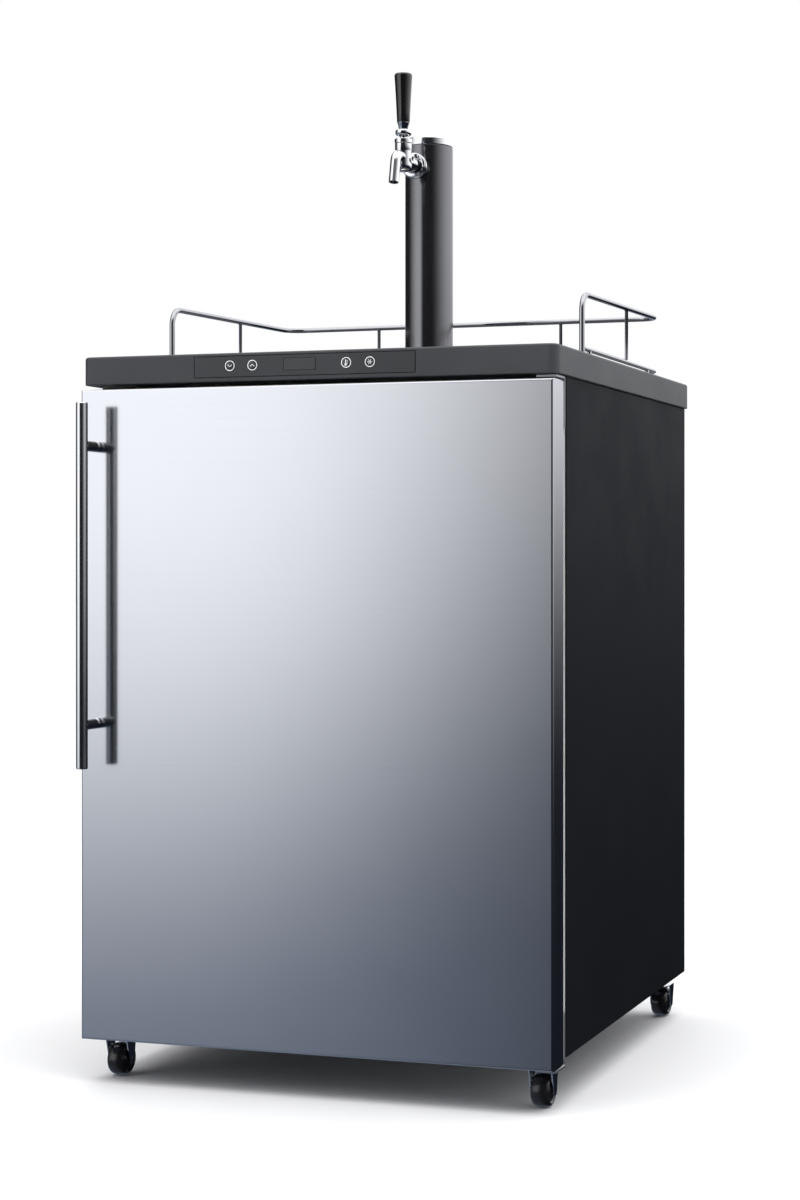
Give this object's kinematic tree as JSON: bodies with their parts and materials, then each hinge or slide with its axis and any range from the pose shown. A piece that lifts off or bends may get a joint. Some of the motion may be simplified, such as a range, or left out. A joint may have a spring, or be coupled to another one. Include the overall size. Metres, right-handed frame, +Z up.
{
  "type": "kegerator",
  "caption": "Freestanding draft beer cooler on casters: insulated cabinet, hinged front door with bar handle, front key panel, tower with single tap, drip tray and chrome guard rail.",
  "frame": {"origin": "on the floor, under the middle of the object's bounding box", "axes": "+Z up, -Y out of the door, +X to the hinge side, on the viewer's right"},
  "size_m": [0.6, 0.679, 1.26],
  "materials": {
    "painted_frame": "satin black paint",
    "side_paint": "fine textured satin black paint",
    "galvanised": "dull galvanised sheet",
    "black_plastic": "matte",
    "foam": "polyurethane foam, hidden inside the walls",
    "white_plastic": "vacuum-formed white plastic, satin",
    "worktop_black": "fine grained black",
    "gloss_black": "smooth glossy overlay",
    "smoked_window": "smoked glossy window",
    "key_face": "glossy key with a pale ring and icon",
    "steel_trim": "fine brushed, bright",
    "tower_black": "satin black powder coat",
    "chrome": "polished",
    "plain_steel": "turned",
    "tap_black": "glossy",
    "door_steel": "fine horizontal brush",
    "seal_grey": "matte",
    "zinc": "bright zinc plate",
    "compressor_black": "satin black enamel",
    "cylinder_aluminium": "satin",
    "brass": "turned, satin",
    "gauge_face": "pale dial behind a clear lens",
    "clear_hose": "translucent vinyl",
    "red_hose": "glossy vinyl",
    "wheel_rubber": "glossy black"
  },
  "bodies": {
    "cabinet": {"base_frame": "painted_frame", "side_panel_left": "side_paint", "side_panel_right": "side_paint", "rear_panel": "galvanised", "machine_cover": "galvanised", "power_inlet": "black_plastic", "foam_insulation": "foam", "inner_liner": "white_plastic", "worktop": "worktop_black", "control_fascia": "gloss_black", "display_window": "smoked_window", "tower_flange": "tower_black", "tower_column": "tower_black", "tower_cap": "chrome", "shank": "chrome", "coupling_nut": "chrome", "faucet_body": "chrome", "bonnet_nut": "chrome", "rail_upper": "chrome", "rail_lower": "chrome", "hinge_upper": "zinc", "hinge_lower": "zinc", "compressor": "compressor_black", "evaporator_cover": "white_plastic", "cylinder_bracket": "zinc", "co2_cylinder": "cylinder_aluminium", "cylinder_valve": "brass", "regulator": "brass", "pressure_gauge_line": "gauge_face", "pressure_gauge_tank": "gauge_face", "keg_coupler": "chrome", "beer_line": "clear_hose", "gas_line": "red_hose"},
    "door": {"door_skin": "door_steel", "door_liner": "white_plastic", "door_foam": "foam", "door_gasket": "seal_grey", "handle_bar": "steel_trim", "handle_post_lower": "steel_trim", "handle_post_upper": "steel_trim"},
    "tap_lever": {"faucet_lever": "chrome", "tap_handle": "tap_black"},
    "plunger": {"faucet_plunger": "plain_steel"},
    "key_colder": {"key_colder": "key_face"},
    "key_warmer": {"key_warmer": "key_face"},
    "key_units": {"key_units": "key_face"},
    "key_fast_chill": {"key_fast_chill": "key_face"},
    "drip_tray": {"drip_tray": "black_plastic"},
    "drip_grille": {"drip_grille": "steel_trim"},
    "handwheel": {"valve_handwheel": "black_plastic"},
    "regulator_knob": {"regulator_knob": "black_plastic"},
    "coupler_lever": {"coupler_lever": "black_plastic"},
    "caster_front_left": {"caster_fork_front_left": "chrome"},
    "wheel_front_left": {"caster_wheel_front_left": "wheel_rubber"},
    "caster_front_right": {"caster_fork_front_right": "chrome"},
    "wheel_front_right": {"caster_wheel_front_right": "wheel_rubber"},
    "caster_rear_left": {"caster_fork_rear_left": "chrome"},
    "wheel_rear_left": {"caster_wheel_rear_left": "wheel_rubber"},
    "caster_rear_right": {"caster_fork_rear_right": "chrome"},
    "wheel_rear_right": {"caster_wheel_rear_right": "wheel_rubber"}
  },
  "joints": [
    {"name": "door_hinge", "type": "hinge", "parent": "cabinet", "child": "door", "pos_m": [0.282, -0.262, 0.443], "axis": [0, 0, 1], "range_deg": [0, 110]},
    {"name": "tap_tilt", "type": "hinge", "parent": "cabinet", "child": "tap_lever", "pos_m": [0, 0.022, 1.166], "axis": [1, 0, 0], "range_deg": [0, 22]},
    {"name": "plunger_slide", "type": "slide", "parent": "cabinet", "child": "plunger", "axis": [0, 1, 0], "range_m": [0, 0.006]},
    {"name": "key_colder_press", "type": "slide", "parent": "cabinet", "child": "key_colder", "axis": [0, 1, 0], "range_m": [0, 0.0008], "stiffness_N_per_m": 400},
    {"name": "key_warmer_press", "type": "slide", "parent": "cabinet", "child": "key_warmer", "axis": [0, 1, 0], "range_m": [0, 0.0008], "stiffness_N_per_m": 400},
    {"name": "key_units_press", "type": "slide", "parent": "cabinet", "child": "key_units", "axis": [0, 1, 0], "range_m": [0, 0.0008], "stiffness_N_per_m": 400},
    {"name": "key_fast_chill_press", "type": "slide", "parent": "cabinet", "child": "key_fast_chill", "axis": [0, 1, 0], "range_m": [0, 0.0008], "stiffness_N_per_m": 400},
    {"name": "tray_lift", "type": "slide", "parent": "cabinet", "child": "drip_tray", "axis": [0, 0, 1], "range_m": [0, 0.1]},
    {"name": "grille_lift", "type": "slide", "parent": "drip_tray", "child": "drip_grille", "axis": [0, 0, 1], "range_m": [0, 0.06]},
    {"name": "valve_turn", "type": "hinge", "parent": "cabinet", "child": "handwheel", "pos_m": [-0.178, 0.22, 0.719], "axis": [0, 0, 1], "range_deg": [0, 720]},
    {"name": "regulator_turn", "type": "hinge", "parent": "cabinet", "child": "regulator_knob", "pos_m": [-0.1, 0.18, 0.683], "axis": [0, -1, 0], "range_deg": [0, 1080]},
    {"name": "coupler_tilt", "type": "hinge", "parent": "cabinet", "child": "coupler_lever", "pos_m": [0.16, 0.235, 0.362], "axis": [1, 0, 0], "range_deg": [0, 30]},
    {"name": "swivel_front_left", "type": "hinge", "parent": "cabinet", "child": "caster_front_left", "pos_m": [-0.27, -0.221, 0.05], "axis": [0, 0, 1], "continuous": true},
    {"name": "roll_front_left", "type": "hinge", "parent": "caster_front_left", "child": "wheel_front_left", "pos_m": [-0.27, -0.237, 0.02], "axis": [1, 0, 0], "continuous": true},
    {"name": "swivel_front_right", "type": "hinge", "parent": "cabinet", "child": "caster_front_right", "pos_m": [0.27, -0.221, 0.05], "axis": [0, 0, 1], "continuous": true},
    {"name": "roll_front_right", "type": "hinge", "parent": "caster_front_right", "child": "wheel_front_right", "pos_m": [0.27, -0.237, 0.02], "axis": [1, 0, 0], "continuous": true},
    {"name": "swivel_rear_left", "type": "hinge", "parent": "cabinet", "child": "caster_rear_left", "pos_m": [-0.27, 0.3, 0.05], "axis": [0, 0, 1], "continuous": true},
    {"name": "roll_rear_left", "type": "hinge", "parent": "caster_rear_left", "child": "wheel_rear_left", "pos_m": [-0.27, 0.316, 0.02], "axis": [1, 0, 0], "continuous": true},
    {"name": "swivel_rear_right", "type": "hinge", "parent": "cabinet", "child": "caster_rear_right", "pos_m": [0.27, 0.3, 0.05], "axis": [0, 0, 1], "continuous": true},
    {"name": "roll_rear_right", "type": "hinge", "parent": "caster_rear_right", "child": "wheel_rear_right", "pos_m": [0.27, 0.316, 0.02], "axis": [1, 0, 0], "continuous": true}
  ],
  "couplings": [
    {"joint": "plunger_slide", "follows": "tap_tilt", "m_per_rad": 0.015}
  ]
}
